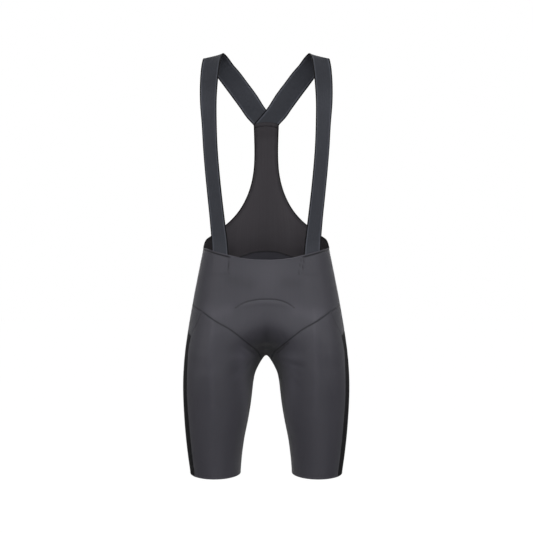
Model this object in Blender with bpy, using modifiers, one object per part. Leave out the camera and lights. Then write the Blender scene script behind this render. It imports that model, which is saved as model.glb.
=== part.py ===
# Cycling bib shorts, in the hollow form they take when worn.
# Lengths in the tables are millimetres. +Z is up, the front faces -Y, and "left" is the -X side.
# The origin is the height at which the shoulder straps cross the shoulders, on the centre plane.
#
# Every cloth panel lies on one smooth figure form: a trunk that parts into two legs. A panel is
# bounded by its seams, which are laid on the form, and neighbours share the points of their seam.

import bpy
import numpy as np

MM = 0.001

CLOTH_WALL = 1.2
STRAP_WALL = 1.5
PAD_WALL = 6.0
PAD_EDGE_WALL = 2.0
SEAM_GAP = 0.4
LINING_DEPTH = 2.0      # how far under the form's surface the straps' front ends lie
PAD_DEPTH = 2.7         # and the seat pad
STRAP_LIFT = 2.6        # the right strap passes this far inside the left one where they cross

# The thighs blend into each other over this half width at the centre plane. The crotch is where
# the gap between the form's inner sides reaches it.
CLEFT = 12.6
CROTCH_Z = -628.5

# Level sections of the figure form. Each half is a rounded outline from its inner to its outer
# side; above the crotch the inner side lies beyond the centre plane, and the halves join.
FORM = np.array([
    # z,    inner,  outer, front,  back, squareness
    (-110, -149.0, 149.0, -97.0, 109.0, 2.2),
    (-150, -148.0, 148.0, -107.0, 110.0, 2.2),
    (-200, -145.5, 145.5, -112.0, 106.0, 2.2),
    (-250, -141.5, 141.5, -111.5, 99.0, 2.2),
    (-300, -137.5, 137.5, -108.0, 92.0, 2.2),
    (-350, -134.0, 134.0, -104.0, 87.5, 2.2),
    (-403, -132.5, 132.5, -101.0, 89.0, 2.2),
    (-435, -138.5, 138.5, -103.5, 96.0, 2.2),
    (-472, -145.0, 146.0, -108.0, 107.0, 2.2),
    (-510, -131.0, 153.5, -111.0, 119.0, 2.2),
    (-535, -103.0, 158.0, -112.0, 125.5, 2.2),
    (-561, -62.0, 162.5, -112.0, 128.5, 2.2),
    (-586, -22.0, 166.3, -111.5, 127.5, 2.2),
    (-600, -4.0, 168.3, -111.0, 125.0, 2.15),
    (-610, 5.0, 169.7, -110.5, 122.5, 2.1),
    (-620, 10.5, 170.8, -110.0, 119.0, 2.1),
    (CROTCH_Z, CLEFT, 171.5, -109.5, 116.0, 2.1),
    (-636, 15.1, 172.3, -109.0, 111.0, 2.05),
    (-649, 20.5, 173.1, -108.0, 104.0, 2.0),
    (-662, 25.6, 173.8, -107.0, 98.0, 2.0),
    (-680, 29.3, 174.3, -105.0, 91.0, 2.0),
    (-700, 31.5, 174.3, -102.5, 85.5, 2.0),
    (-724, 34.1, 173.6, -99.0, 80.5, 2.0),
    (-762, 40.0, 171.4, -94.0, 74.0, 2.0),
    (-800, 47.3, 168.2, -89.0, 69.0, 2.0),
    (-838, 52.3, 163.8, -84.5, 65.0, 2.0),
    (-872, 55.0, 159.0, -81.0, 62.0, 2.0),
    (-900, 56.5, 155.5, -78.5, 60.0, 2.0),
])

# Seams and free edges, from the centre plane or the top outwards and down.
WAIST_EDGE = np.array([
    # x,     z
    (0.0, -428.5),
    (24.0, -427.7),
    (44.0, -425.5),
    (76.0, -418.5),
    (104.0, -411.0),
    (122.0, -405.5),
])
SIDE_WAIST_Z = -402.0
SIDE_YOKE_Z = -474.0
SIDE_LEG_Z = -517.5
HEM_Z = -872.5
HEM_SLOPE = 0.045       # the hem is that much longer in front for each millimetre forwards

ARMHOLE_EDGE = np.array([
    # x,     z
    (28.0, -131.5),
    (26.0, -185.0),
    (26.3, -211.0),
    (28.4, -238.0),
    (33.5, -264.0),
    (42.4, -290.5),
    (56.3, -317.0),
    (78.5, -344.0),
    (100.0, -362.0),
    (117.5, -376.5),
    (127.5, -385.5),
])
STEM_ARCH = 5.0         # rise of the stem's top seam at the centre

YOKE_SEAM = np.array([
    # x,     z
    (0.0, -409.0),
    (24.0, -411.0),
    (52.0, -419.5),
    (85.0, -437.0),
    (115.0, -457.0),
])

# The seam between the trunk panels and a leg panel, below the side panel's front or back corner.
FRONT_LEG_SEAM = np.array([
    # x,     z
    (131.0, -534.0),
    (104.0, -552.0),
    (70.5, -570.5),
    (38.0, -596.5),
    (17.0, -617.0),
])
BACK_LEG_SEAM = np.array([
    # x,     z
    (131.0, -536.0),
    (104.0, -557.0),
    (70.5, -578.0),
    (38.0, -601.0),
    (17.0, -618.0),
])
CROTCH_SEAM_X = 14.5    # half width of the trunk panels between the legs
CROTCH_TIP_X = 13.0
CROTCH_SEAM_Z = -633.0
CROTCH_TIP_Z = -643.0
CROTCH_SEAM_REACH = 33.0

# The edges of a side panel, which are the same in front and behind.
SIDE_PANEL_EDGE = np.array([
    # x,     z
    (143.0, -561.0),
    (154.0, -582.0),
    (160.0, -606.0),
    (162.5, -636.0),
    (163.5, -680.0),
    (162.5, -724.0),
    (159.5, -762.0),
    (155.5, -805.0),
    (150.5, -850.0),
    (147.5, HEM_Z),
])

PAD_EDGE = np.array([
    # x,     y,      z
    (64.0, -95.0, -524.0),
    (60.0, -95.0, -552.0),
    (44.0, -85.0, -590.0),
    (28.0, -50.0, -632.0),
    (24.0, 3.0, -655.0),
    (34.0, 55.0, -634.0),
    (62.0, 95.0, -596.0),
    (86.0, 100.0, -560.0),
    (84.0, 105.0, -532.0),
])
PAD_FRONT_Z = -510.0
PAD_BACK_Z = -516.0

# A strap's two edges where it lies on the chest.
STRAP_FRONT = np.array([
    # z,   inner x, outer x
    (-458, 76.0, 114.0),
    (-430, 77.0, 113.0),
    (-403, 78.5, 113.5),
    (-350, 85.2, 117.3),
    (-300, 91.2, 122.4),
    (-250, 96.4, 127.4),
    (-200, 100.4, 131.6),
    (-150, 102.4, 134.8),
])

# The same edges from the collarbone over the shoulder to the stem of the back.
STRAP_SHOULDER = np.array([
    # inner x, y, z,         outer x, y, z
    (101.8, -69.0, -100.0, 137.0, -41.0, -102.0),
    (100.2, -57.0, -66.0, 137.8, -33.0, -72.0),
    (97.8, -42.0, -36.0, 137.3, -23.0, -46.0),
    (94.5, -22.0, -7.0, 135.0, -12.0, -19.0),
    (91.0, 0.0, 6.0, 132.0, 1.0, -5.0),
    (86.5, 22.0, 7.0, 126.0, 18.0, -8.5),
    (79.0, 45.0, 1.5, 116.0, 38.0, -23.0),
    (70.0, 62.0, -9.0, 104.0, 54.0, -38.0),
    (59.0, 75.0, -20.0, 93.0, 68.0, -51.5),
    (40.0, 92.0, -43.0, 74.5, 86.0, -74.5),
    (20.5, 103.0, -68.0, 56.0, 100.5, -98.5),
    (3.5, 108.0, -94.0, 43.0, 107.5, -116.5),
    (-27.0, 109.5, -130.5, 30.0, 109.5, -130.5),
])
LIFT_GROWTH = np.array([0.0, 0.5, 1.0, 1.0])     # over the last rows of STRAP_SHOULDER

# How many faces each stretch of seam is cut into.
HALF_COLUMNS = 11
SIDE_UPPER_FACES = 3
SIDE_LOWER_FACES = 2
SIDE_PANEL_HALF_FACES = 3
LEG_SEAM_FACES = 13
CROTCH_FACES = 5
ARMHOLE_FACES = 18
LEG_ROWS = 14
HIP_ROWS = 3            # of them lie in the hip panel, above the side panel
STRAP_FACES_ALONG = 38
STRAP_FACES_ACROSS = 3
PAD_COLUMNS = 7
PAD_ROWS = 20
ROW_HOLD = 8            # how soon a trunk panel's rows straighten below its top edge
STEM_ROW_LEAD = 0.75    # below 1, the back bib's rows meet its armhole edge less slantwise

COLORS = {
    # name: (red, green, blue, roughness)
    "body_cloth": (0.075, 0.075, 0.082, 0.55),
    "side_cloth": (0.018, 0.018, 0.022, 0.65),
    "bib_mesh": (0.055, 0.050, 0.055, 0.75),
    "elastic": (0.045, 0.048, 0.055, 0.70),
    "pad_foam": (0.030, 0.030, 0.034, 0.90),
}


def smooth_value(stations, values, at):
    """Cubic curve through values at rising stations, read at the points given."""
    slopes = np.gradient(values, stations)
    at = np.clip(at, stations[0], stations[-1])
    low = np.clip(np.searchsorted(stations, at, side="right") - 1, 0, len(stations) - 2)
    span = stations[low + 1] - stations[low]
    t = (at - stations[low]) / span
    return (
        (2 * t**3 - 3 * t**2 + 1) * values[low]
        + (t**3 - 2 * t**2 + t) * span * slopes[low]
        + (3 * t**2 - 2 * t**3) * values[low + 1]
        + (t**3 - t**2) * span * slopes[low + 1]
    )


def section(z):
    """Centre x and y, half width, half depth and squareness of the form's half section at z."""
    rising = FORM[::-1]
    columns = [smooth_value(rising[:, 0], rising[:, n], z) for n in range(1, 6)]
    inner, outer, front, back, squareness = columns
    return (inner + outer) / 2, (front + back) / 2, (outer - inner) / 2, (back - front) / 2, squareness


def form_value(points):
    """Below zero inside the figure form, zero on it."""
    center_x, center_y, half_width, half_depth, squareness = section(points[..., 2])
    across = np.abs(np.hypot(points[..., 0], CLEFT) - center_x) / half_width
    along = np.abs(points[..., 1] - center_y) / half_depth
    return (across**squareness + along**squareness) ** (1 / squareness) - 1


def form_gradient(points, step=0.05):
    sides = step * np.eye(3)
    return np.stack([form_value(points + s) - form_value(points - s) for s in sides], axis=-1) / (2 * step)


def settle(points, depth=0.0):
    """Moves points straight onto the form, or to a depth under its surface."""
    points = np.array(points, dtype=float)
    for _ in range(12):
        gradient = form_gradient(points)
        steepness = np.linalg.norm(gradient, axis=-1, keepdims=True)
        error = form_value(points)[..., None] + depth * steepness
        points -= np.clip(error / steepness, -15, 15) * gradient / steepness
    return points


def lay(x, z, face):
    """The form's point at x and z, in front for a face of -1 and behind for a face of 1."""
    center_x, center_y, half_width, half_depth, squareness = section(np.asarray(z, dtype=float))
    across = np.abs(np.hypot(x, CLEFT) - center_x) / half_width
    along = np.clip(1 - across**squareness, 0, 1) ** (1 / squareness)
    return np.stack(np.broadcast_arrays(x, center_y + face * half_depth * along, z), axis=-1)


def side_line(z):
    """Points on the outermost line of the form."""
    center_x, center_y, half_width, _, _ = section(z)
    return np.stack([np.sqrt((center_x + half_width) ** 2 - CLEFT**2), center_y, z], axis=-1)


def side_point(z):
    return side_line(np.array([z]))


def lengths_along(points):
    steps = np.linalg.norm(np.diff(points, axis=0), axis=1)
    return np.concatenate([[0], np.cumsum(steps)])


def smooth_curve(points, fractions):
    """Smooth curve through the points, read at fractions of its length."""
    points = np.asarray(points, dtype=float)
    stations = lengths_along(points)
    fine = np.linspace(0, stations[-1], 400)
    dense = np.stack([smooth_value(stations, points[:, n], fine) for n in range(3)], axis=-1)
    run = lengths_along(dense)
    return np.stack([np.interp(fractions * run[-1], run, dense[:, n]) for n in range(3)], axis=-1)


def seam(points, faces):
    """A seam laid on the form, cut into equal stretches."""
    return settle(smooth_curve(points, np.linspace(0, 1, faces + 1)))


def join(*curves):
    """Curves that meet end to end, as one row of points."""
    return np.concatenate([curves[0]] + [curve[1:] for curve in curves[1:]])


def patch(top, bottom, left, right, depth=0.0, hold=1):
    """A grid between four edges, laid on the form. Rows run down, columns run from left to right.

    With a high hold, the rows below the top edge and above the bottom one run straight across."""
    u = np.linspace(0, 1, len(top))[None, :, None]
    v = np.linspace(0, 1, len(left))[:, None, None]
    straight = (1 - u) * left[:, None] + u * right[:, None]
    grid = straight + (1 - v) ** hold * (top - straight[0]) + v**hold * (bottom - straight[-1])
    return settle(grid, depth)


def draw_back(grid, edges):
    """Moves the named edges of a grid inwards by half a seam gap."""
    views = {
        "top": (grid[0], grid[1]),
        "bottom": (grid[-1], grid[-2]),
        "left": (grid[:, 0], grid[:, 1]),
        "right": (grid[:, -1], grid[:, -2]),
    }
    for name in edges:
        edge, inside = views[name]
        tangent = np.gradient(edge, axis=0)
        tangent /= np.linalg.norm(tangent, axis=-1, keepdims=True)
        inwards = inside - edge
        inwards -= tangent * (inwards * tangent).sum(axis=-1, keepdims=True)
        edge += inwards * (SEAM_GAP / 2) / np.linalg.norm(inwards, axis=-1, keepdims=True)
    return grid


def draw_half_back(grid, edges):
    """Draws back the seams of a half whose left edge stays on the centre plane."""
    draw_back(grid, edges)
    grid[:, 0, 0] = 0
    return grid


def turned(grid):
    """The same grid with its columns in reverse, which turns its faces over.

    A grid's faces look away from the body where its columns run from left to right as seen from
    outside, and every wall grows inwards from them."""
    return grid[:, ::-1]


def center_line(z, face):
    """The form's line on the centre plane, down to the crotch."""
    return lay(np.zeros(len(z)), z, face)


def center_heights(start):
    """Heights down the centre plane to the crotch, closer together as the line turns level."""
    turn = np.linspace(0, np.pi / 2, 18)
    return start + (CROTCH_Z - start) * np.sin(turn)


def seams():
    """Every seam that two panels share, on the right-hand side."""
    side_upper = seam(side_line(np.linspace(SIDE_WAIST_Z, SIDE_YOKE_Z, 5)), SIDE_UPPER_FACES)
    side_lower = seam(side_line(np.linspace(SIDE_YOKE_Z, SIDE_LEG_Z, 5)), SIDE_LOWER_FACES)
    shared = {"side_upper": side_upper, "side_lower": side_lower}
    for name, face, table in (("front", -1, FRONT_LEG_SEAM), ("back", 1, BACK_LEG_SEAM)):
        leg = lay(table[:, 0], table[:, 1], face)
        tip = np.array([
            (CROTCH_SEAM_X, leg[-1, 1] + (CROTCH_SEAM_REACH * -face), CROTCH_SEAM_Z),
            (CROTCH_TIP_X, section(np.array([CROTCH_TIP_Z]))[1][0], CROTCH_TIP_Z),
        ])
        whole = settle(np.concatenate([leg, tip]))
        corner = np.concatenate([side_point(SIDE_LEG_Z), whole[:1]])
        shared[name + "_corner"] = seam(corner, SIDE_PANEL_HALF_FACES)
        shared[name + "_leg"] = seam(whole[: len(leg)], LEG_SEAM_FACES)
        shared[name + "_crotch"] = seam(whole[len(leg) - 1:], CROTCH_FACES)
    yoke = np.concatenate([lay(YOKE_SEAM[:, 0], YOKE_SEAM[:, 1], 1), side_point(SIDE_YOKE_Z)])
    shared["yoke"] = seam(yoke, HALF_COLUMNS)
    tip_front = center_line(np.array([CROTCH_Z]), -1)
    shared["tip"] = seam(np.concatenate([tip_front, shared["front_crotch"][-1:]]), HALF_COLUMNS)
    return shared


def run_fractions(points):
    run = lengths_along(points)
    return run / run[-1]


def trunk_panel(shared, name, face, top, right):
    """Half of the front or the seat: from its top edge to the crotch tip."""
    right = join(*right, shared[name + "_corner"], shared[name + "_leg"], shared[name + "_crotch"])
    z = center_heights(top[0, 2])
    left = settle(smooth_curve(center_line(z, face), run_fractions(right)))
    left[:, 0] = 0
    return patch(top, shared["tip"], left, right, hold=ROW_HOLD)


def front_panel(shared):
    waist = np.concatenate([lay(WAIST_EDGE[:, 0], WAIST_EDGE[:, 1], -1), side_point(SIDE_WAIST_Z)])
    top = seam(waist, HALF_COLUMNS)
    grid = trunk_panel(shared, "front", -1, top, (shared["side_upper"], shared["side_lower"]))
    return draw_half_back(grid, ("right", "bottom"))


def seat_panel(shared):
    grid = trunk_panel(shared, "back", 1, shared["yoke"], (shared["side_lower"],))
    return turned(draw_half_back(grid, ("top", "right", "bottom")))


def back_bib(shared):
    """Half of the back bib: a narrow stem that spreads to the waist."""
    armhole = np.concatenate([lay(ARMHOLE_EDGE[:, 0], ARMHOLE_EDGE[:, 1], 1), side_point(SIDE_WAIST_Z)])
    right = join(seam(armhole, ARMHOLE_FACES), shared["side_upper"])
    across = np.linspace(0, 1, HALF_COLUMNS + 1)
    top_z = ARMHOLE_EDGE[0, 1] + STEM_ARCH * (1 - across**2)
    top = lay(across * ARMHOLE_EDGE[0, 0], top_z, 1)
    z = np.linspace(top_z[0], YOKE_SEAM[0, 1], 16)
    left = settle(smooth_curve(center_line(z, 1), run_fractions(right) ** STEM_ROW_LEAD))
    left[:, 0] = 0
    grid = patch(top, shared["yoke"], left, right, hold=ROW_HOLD)
    return turned(draw_half_back(grid, ("bottom", "right")))


def hem_arc(start, end, faces, inside):
    """Arc of a leg's hem from one point to another, by the inner or the outer side."""
    center_x, center_y, half_width, half_depth, _ = (v[0] for v in section(np.array([HEM_Z])))
    angles = [
        np.arctan2((p[1] - center_y) / half_depth, (np.hypot(p[0], CLEFT) - center_x) / half_width)
        for p in (start, end)
    ]
    if inside:
        angles[0] += 2 * np.pi
    turn = np.linspace(angles[0], angles[1], faces + 1)
    x = np.sqrt((center_x + half_width * np.cos(turn)) ** 2 - CLEFT**2)
    y = center_y + half_depth * np.sin(turn)
    return np.stack([x, y, HEM_Z + HEM_SLOPE * (y - center_y)], axis=-1)


def side_edge(corner, face):
    """A side panel's front or back edge, from its top corner to the hem."""
    line = lay(SIDE_PANEL_EDGE[:, 0], SIDE_PANEL_EDGE[:, 1], face)
    line[-1, 2] += HEM_SLOPE * (line[-1, 1] - section(HEM_Z)[1])
    rows = np.linspace(0, 1, LEG_ROWS + 1) ** 1.15
    return settle(smooth_curve(np.concatenate([corner[None], line]), rows))


def leg_panels(shared):
    """The leg panel, which wraps the leg by its inner side, and the hip and side panels beside it."""
    front_edge = side_edge(shared["front_corner"][-1], -1)
    back_edge = side_edge(shared["back_corner"][-1], 1)
    around = (shared["front_leg"], shared["front_crotch"])
    around += (shared["back_crotch"][::-1], shared["back_leg"][::-1])
    top = join(*around)
    hem = hem_arc(front_edge[-1], back_edge[-1], len(top) - 1, inside=True)
    leg = patch(top, hem, front_edge, back_edge)
    side_top = join(shared["front_corner"][::-1], shared["back_corner"])
    side_hem = hem_arc(front_edge[-1], back_edge[-1], len(side_top) - 1, inside=False)
    side = patch(side_top, side_hem, front_edge, back_edge)
    hip, strip = side[:HIP_ROWS + 1].copy(), side[HIP_ROWS:]
    edges = ("top", "left", "right")
    return turned(draw_back(leg, edges)), draw_back(hip, (*edges, "bottom")), draw_back(strip, edges)


def pad_grid():
    """Half of the seat pad, under the crotch from the belly to the seat."""
    edge = settle(PAD_EDGE)
    rows = np.linspace(0, 1, PAD_ROWS + 1)
    right = smooth_curve(edge, rows)
    front_line = center_line(center_heights(PAD_FRONT_Z), -1)
    back_line = center_line(center_heights(PAD_BACK_Z), 1)
    line = join(front_line, back_line[::-1])
    left = smooth_curve(line, rows)
    columns = np.linspace(0, 1, PAD_COLUMNS + 1)
    top = smooth_curve([left[0], lay(34.0, PAD_FRONT_Z - 4, -1), right[0]], columns)
    bottom = smooth_curve([left[-1], lay(44.0, PAD_BACK_Z - 4, 1), right[-1]], columns)
    grid = patch(top, bottom, left, right, PAD_DEPTH)
    grid[:, 0, 0] = 0
    return grid


def strap_grid(is_right):
    """A strap's outer face, from its front end under the waist edge to the stem."""
    z, inner_x, outer_x = STRAP_FRONT.T
    inner = settle(lay(inner_x, z, -1), LINING_DEPTH)
    outer = settle(lay(outer_x, z, -1), LINING_DEPTH)
    shoulder = STRAP_SHOULDER.copy()
    if is_right:
        shoulder[-len(LIFT_GROWTH):, (1, 4)] -= LIFT_GROWTH[:, None] * STRAP_LIFT
    inner = np.concatenate([inner, shoulder[:, :3]])
    outer = np.concatenate([outer, shoulder[:, 3:]])
    rows = np.linspace(0, 1, STRAP_FACES_ALONG + 1)
    inner = smooth_curve(inner, rows)[:, None]
    outer = smooth_curve(outer, rows)[:, None]
    across = np.linspace(0, 1, STRAP_FACES_ACROSS + 1)[None, :, None]
    grid = (1 - across) * outer + across * inner
    arch = np.zeros_like(grid)
    near_end = np.clip((rows - 0.9) / 0.1, 0, 1)[:, None]
    arch[..., 2] = near_end * STEM_ARCH * 4 * (across * (1 - across))[..., 0]
    return grid + arch


def material(name):
    red, green, blue, roughness = COLORS[name]
    made = bpy.data.materials.new(name)
    made.use_nodes = True
    shader = made.node_tree.nodes["Principled BSDF"]
    shader.inputs["Base Color"].default_value = (red, green, blue, 1)
    shader.inputs["Roughness"].default_value = roughness
    return made


def sheet_object(name, grid, side, material_name, collection):
    """A mesh of the grid's faces, which look away from the body, on the side given."""
    rows, columns = grid.shape[:2]
    points = grid * MM * np.array([side, 1, 1])
    index = np.arange(rows * columns).reshape(rows, columns)
    faces = np.stack([index[:-1, :-1], index[1:, :-1], index[1:, 1:], index[:-1, 1:]], axis=-1)
    faces = faces.reshape(-1, 4)
    if side < 0:
        faces = faces[:, ::-1]
    mesh = bpy.data.meshes.new(name)
    mesh.from_pydata(points.reshape(-1, 3).tolist(), [], faces.tolist())
    mesh.shade_smooth()
    made = bpy.data.objects.new(name, mesh)
    made.data.materials.append(material(material_name))
    collection.objects.link(made)
    return made


def add_mirror(made):
    mirror = made.modifiers.new("both_halves", "MIRROR")
    mirror.merge_threshold = 0.00005
    mirror.use_mirror_merge = True


def add_wall(made, wall):
    solidify = made.modifiers.new("wall", "SOLIDIFY")
    solidify.thickness = wall * MM
    solidify.offset = -1
    return solidify


def build():
    collection = bpy.data.collections.new("cycling_bib_shorts")
    bpy.context.scene.collection.children.link(collection)
    shared = seams()
    leg, hip, side_strip = leg_panels(shared)

    for name, grid, material_name in (
        ("front_panel", front_panel(shared), "body_cloth"),
        ("seat_panel", seat_panel(shared), "body_cloth"),
        ("back_bib", back_bib(shared), "bib_mesh"),
    ):
        made = sheet_object(name, grid, 1, material_name, collection)
        add_mirror(made)
        add_wall(made, CLOTH_WALL)

    for word, side in (("left", -1), ("right", 1)):
        for name, grid, material_name in (
            ("leg_panel", leg, "body_cloth"),
            ("hip_panel", hip, "body_cloth"),
            ("side_panel", side_strip, "side_cloth"),
        ):
            made = sheet_object(f"{name}_{word}", grid, side, material_name, collection)
            add_wall(made, CLOTH_WALL)
        strap = sheet_object(f"strap_{word}", strap_grid(side > 0), side, "elastic", collection)
        add_wall(strap, STRAP_WALL)

    pad = sheet_object("chamois_pad", pad_grid(), 1, "pad_foam", collection)
    bulk = pad.vertex_groups.new(name="bulk")
    across = np.linspace(0, 1, PAD_COLUMNS + 1)[None]
    along = np.linspace(-1, 1, PAD_ROWS + 1)[:, None]
    weights = ((1 - across**2) * (1 - along**4)) ** 0.5
    for index, weight in enumerate(weights.ravel()):
        bulk.add([index], float(weight), "REPLACE")
    add_mirror(pad)
    wall = add_wall(pad, PAD_WALL)
    wall.vertex_group = "bulk"
    wall.thickness_vertex_group = PAD_EDGE_WALL / PAD_WALL


for existing in list(bpy.data.objects):
    bpy.data.objects.remove(existing, do_unlink=True)
build()
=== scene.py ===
# Cycling bib shorts in the form they take when worn: the looks of every cut and sewn piece.
# Tables are in millimetres. +Z is up, the front faces -Y, and "Left" is the -X side.

import math

import bpy
import numpy as np
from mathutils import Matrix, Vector
from mathutils.bvhtree import BVHTree
from mathutils.kdtree import KDTree


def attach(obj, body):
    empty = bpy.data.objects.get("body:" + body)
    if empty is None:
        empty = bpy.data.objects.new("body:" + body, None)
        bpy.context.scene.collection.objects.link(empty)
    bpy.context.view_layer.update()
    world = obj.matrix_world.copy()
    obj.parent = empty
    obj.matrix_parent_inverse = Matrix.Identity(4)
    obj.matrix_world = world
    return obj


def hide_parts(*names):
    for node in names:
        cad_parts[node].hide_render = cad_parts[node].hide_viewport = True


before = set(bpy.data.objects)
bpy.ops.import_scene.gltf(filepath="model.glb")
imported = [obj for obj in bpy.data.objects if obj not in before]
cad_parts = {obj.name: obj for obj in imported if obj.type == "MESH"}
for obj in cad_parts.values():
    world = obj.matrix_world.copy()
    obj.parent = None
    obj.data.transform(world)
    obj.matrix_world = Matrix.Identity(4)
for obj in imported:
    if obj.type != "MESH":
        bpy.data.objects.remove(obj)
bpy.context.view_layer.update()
scene = bpy.context.scene
mm = 0.001

# The camera looks level at the middle of the garment.
camera = {
    "place": (0.0005, -2.6, -0.442),
    "metersPerPixel": 0.0021,  # at the centre plane
    "pixels": 533,
    "sensorWidth": 36.0,
    "clipEnd": 100.0,
}

studio = {
    "floorHeight": -1.45,
    "floorSize": 40.0,
    "floorColor": (0.04, 0.04, 0.04, 1),
    "floorRoughness": 0.9,
    "backgroundLight": 1.0,
    "surroundLight": 0.015,
    "aim": (0, 0, -0.45),
    "distance": 2.6,
    # name: degrees to the right of the camera and above level, width and height in metres, watts
    "lamps": {
        "frontTop": (0, 40, 1.0, 1.0, 12.2),
        "front": (0, 10, 1.0, 1.0, 8.2),
        "keyLeft": (-45, 40, 1.0, 1.0, 15.4),
        "keyRight": (45, 40, 1.0, 1.0, 20.0),
        "sideLeft": (-70, 6, 1.0, 1.0, 8.8),
        "sideRight": (70, 10, 1.0, 1.0, 7.5),
        "lowLeft": (-24, -20, 1.0, 1.0, 5.8),
        "lowRight": (22, -20, 1.0, 1.0, 7.0),
        "backLeft": (-148, 30, 1.2, 1.2, 16),
        "backRight": (148, 30, 1.2, 1.2, 16),
        "back": (180, 15, 1.6, 1.6, 30),
    },
}


def join(*parts, axis=0):
    return np.concatenate(parts, axis)


def newObject(name, data):
    made = bpy.data.objects.new(name, data)
    scene.collection.objects.link(made)
    return made


# A node or a socket is wired in, and anything else is a plain value.
def setInputs(tree, node, inputs):
    for key, value in dict(inputs).items():
        if isinstance(value, bpy.types.Node):
            value = value.outputs[0]
        if isinstance(value, bpy.types.NodeSocket):
            tree.links.new(value, node.inputs[key])
        else:
            node.inputs[key].default_value = value


def addNode(tree, kind, settings=(), inputs=()):
    node = tree.nodes.new(kind)
    for key, value in dict(settings).items():
        setattr(node, key, value)
    setInputs(tree, node, inputs)
    return node


def shaderNode(tree, kind, settings=(), inputs=()):
    return addNode(tree, "ShaderNode" + kind, settings, inputs)


def mathNode(tree, operation, first, second=0.0, third=0.0):
    return shaderNode(tree, "Math", {"operation": operation}, {0: first, 1: second, 2: third})


# From low where the value is 0 to high where it is 1.
def remap(tree, value, low, high, **settings):
    return shaderNode(tree, "MapRange", settings, {"Value": value, "To Min": low, "To Max": high})


def newMaterial(name):
    made = bpy.data.materials.new(name)
    made.use_nodes = True
    return made, made.node_tree, made.node_tree.nodes["Principled BSDF"]


def makeCamera():
    made = newObject("frontCamera", bpy.data.cameras.new("frontCamera"))
    made.location = camera["place"]
    made.rotation_euler = (math.radians(90), 0, 0)
    made.data.sensor_width = camera["sensorWidth"]
    seenWidth = camera["pixels"] * camera["metersPerPixel"]
    made.data.lens = camera["sensorWidth"] * -camera["place"][1] / seenWidth
    made.data.clip_end = camera["clipEnd"]
    scene.camera = made


# Bright as the camera sees it, and dim as a light on the cloth.
def studioGlow(tree):
    seen = shaderNode(tree, "LightPath").outputs["Is Camera Ray"]
    return remap(tree, seen, studio["surroundLight"], studio["backgroundLight"])


def makeStudio():
    half = studio["floorSize"] / 2
    z = studio["floorHeight"]
    mesh = bpy.data.meshes.new("studioFloor")
    corners = [(-half, -half, z), (half, -half, z), (half, half, z), (-half, half, z)]
    mesh.from_pydata(corners, [], [(0, 1, 2, 3)])
    paint, tree, shader = newMaterial("floorPaint")
    setInputs(tree, shader, {
        "Base Color": studio["floorColor"], "Roughness": studio["floorRoughness"],
        "Emission Color": (1, 1, 1, 1), "Emission Strength": studioGlow(tree),
    })
    mesh.materials.append(paint)
    newObject("studioFloor", mesh)

    world = bpy.data.worlds.new("studioWorld")
    world.use_nodes = True
    tree = world.node_tree
    setInputs(tree, tree.nodes["Background"], {"Color": (1, 1, 1, 1), "Strength": studioGlow(tree)})
    scene.world = world
    scene.view_settings.view_transform = "Standard"

    aim = Vector(studio["aim"])
    for name, (azimuth, elevation, width, height, watts) in studio["lamps"].items():
        light = bpy.data.lights.new(name + "Lamp", "AREA")
        light.shape = "RECTANGLE"
        light.size = width
        light.size_y = height
        light.energy = watts
        turn, rise = math.radians(azimuth), math.radians(elevation)
        away = Vector((math.sin(turn) * math.cos(rise), -math.cos(turn) * math.cos(rise), math.sin(rise)))
        made = newObject(name + "Lamp", light)
        made.location = aim + studio["distance"] * away
        made.rotation_euler = (-away).to_track_quat("-Z", "Y").to_euler()


makeCamera()
makeStudio()
print("camera and studio made")


# The figure form: level sections whose halves join above the crotch. It is the form of the CAD
# solids' outer faces, so every piece lies where its solid lies.
form = {
    "cleft": 12.6,  # the thighs blend over this half width at the centre plane
    "crotch": -628.5,
    "sections": np.array([
        # z,    inner,  outer, front,  back, squareness
        (-110, -149.0, 149.0, -97.0, 109.0, 2.2),
        (-150, -148.0, 148.0, -107.0, 110.0, 2.2),
        (-200, -145.5, 145.5, -112.0, 106.0, 2.2),
        (-250, -141.5, 141.5, -111.5, 99.0, 2.2),
        (-300, -137.5, 137.5, -108.0, 92.0, 2.2),
        (-350, -134.0, 134.0, -104.0, 87.5, 2.2),
        (-403, -132.5, 132.5, -101.0, 89.0, 2.2),
        (-435, -138.5, 138.5, -103.5, 96.0, 2.2),
        (-472, -145.0, 146.0, -108.0, 107.0, 2.2),
        (-510, -131.0, 153.5, -111.0, 119.0, 2.2),
        (-535, -103.0, 158.0, -112.0, 125.5, 2.2),
        (-561, -62.0, 162.5, -112.0, 128.5, 2.2),
        (-586, -22.0, 166.3, -111.5, 127.5, 2.2),
        (-600, -4.0, 168.3, -111.0, 125.0, 2.15),
        (-610, 5.0, 169.7, -110.5, 122.5, 2.1),
        (-620, 10.5, 170.8, -110.0, 119.0, 2.1),
        (-628.5, 12.6, 171.5, -109.5, 116.0, 2.1),
        (-636, 15.1, 172.3, -109.0, 111.0, 2.05),
        (-649, 20.5, 173.1, -108.0, 104.0, 2.0),
        (-662, 25.6, 173.8, -107.0, 98.0, 2.0),
        (-680, 29.3, 174.3, -105.0, 91.0, 2.0),
        (-700, 31.5, 174.3, -102.5, 85.5, 2.0),
        (-724, 34.1, 173.6, -99.0, 80.5, 2.0),
        (-762, 40.0, 171.4, -94.0, 74.0, 2.0),
        (-800, 47.3, 168.2, -89.0, 69.0, 2.0),
        (-838, 52.3, 163.8, -84.5, 65.0, 2.0),
        (-872, 55.0, 159.0, -81.0, 62.0, 2.0),
        (-900, 56.5, 155.5, -78.5, 60.0, 2.0),
    ]),
}


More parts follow.
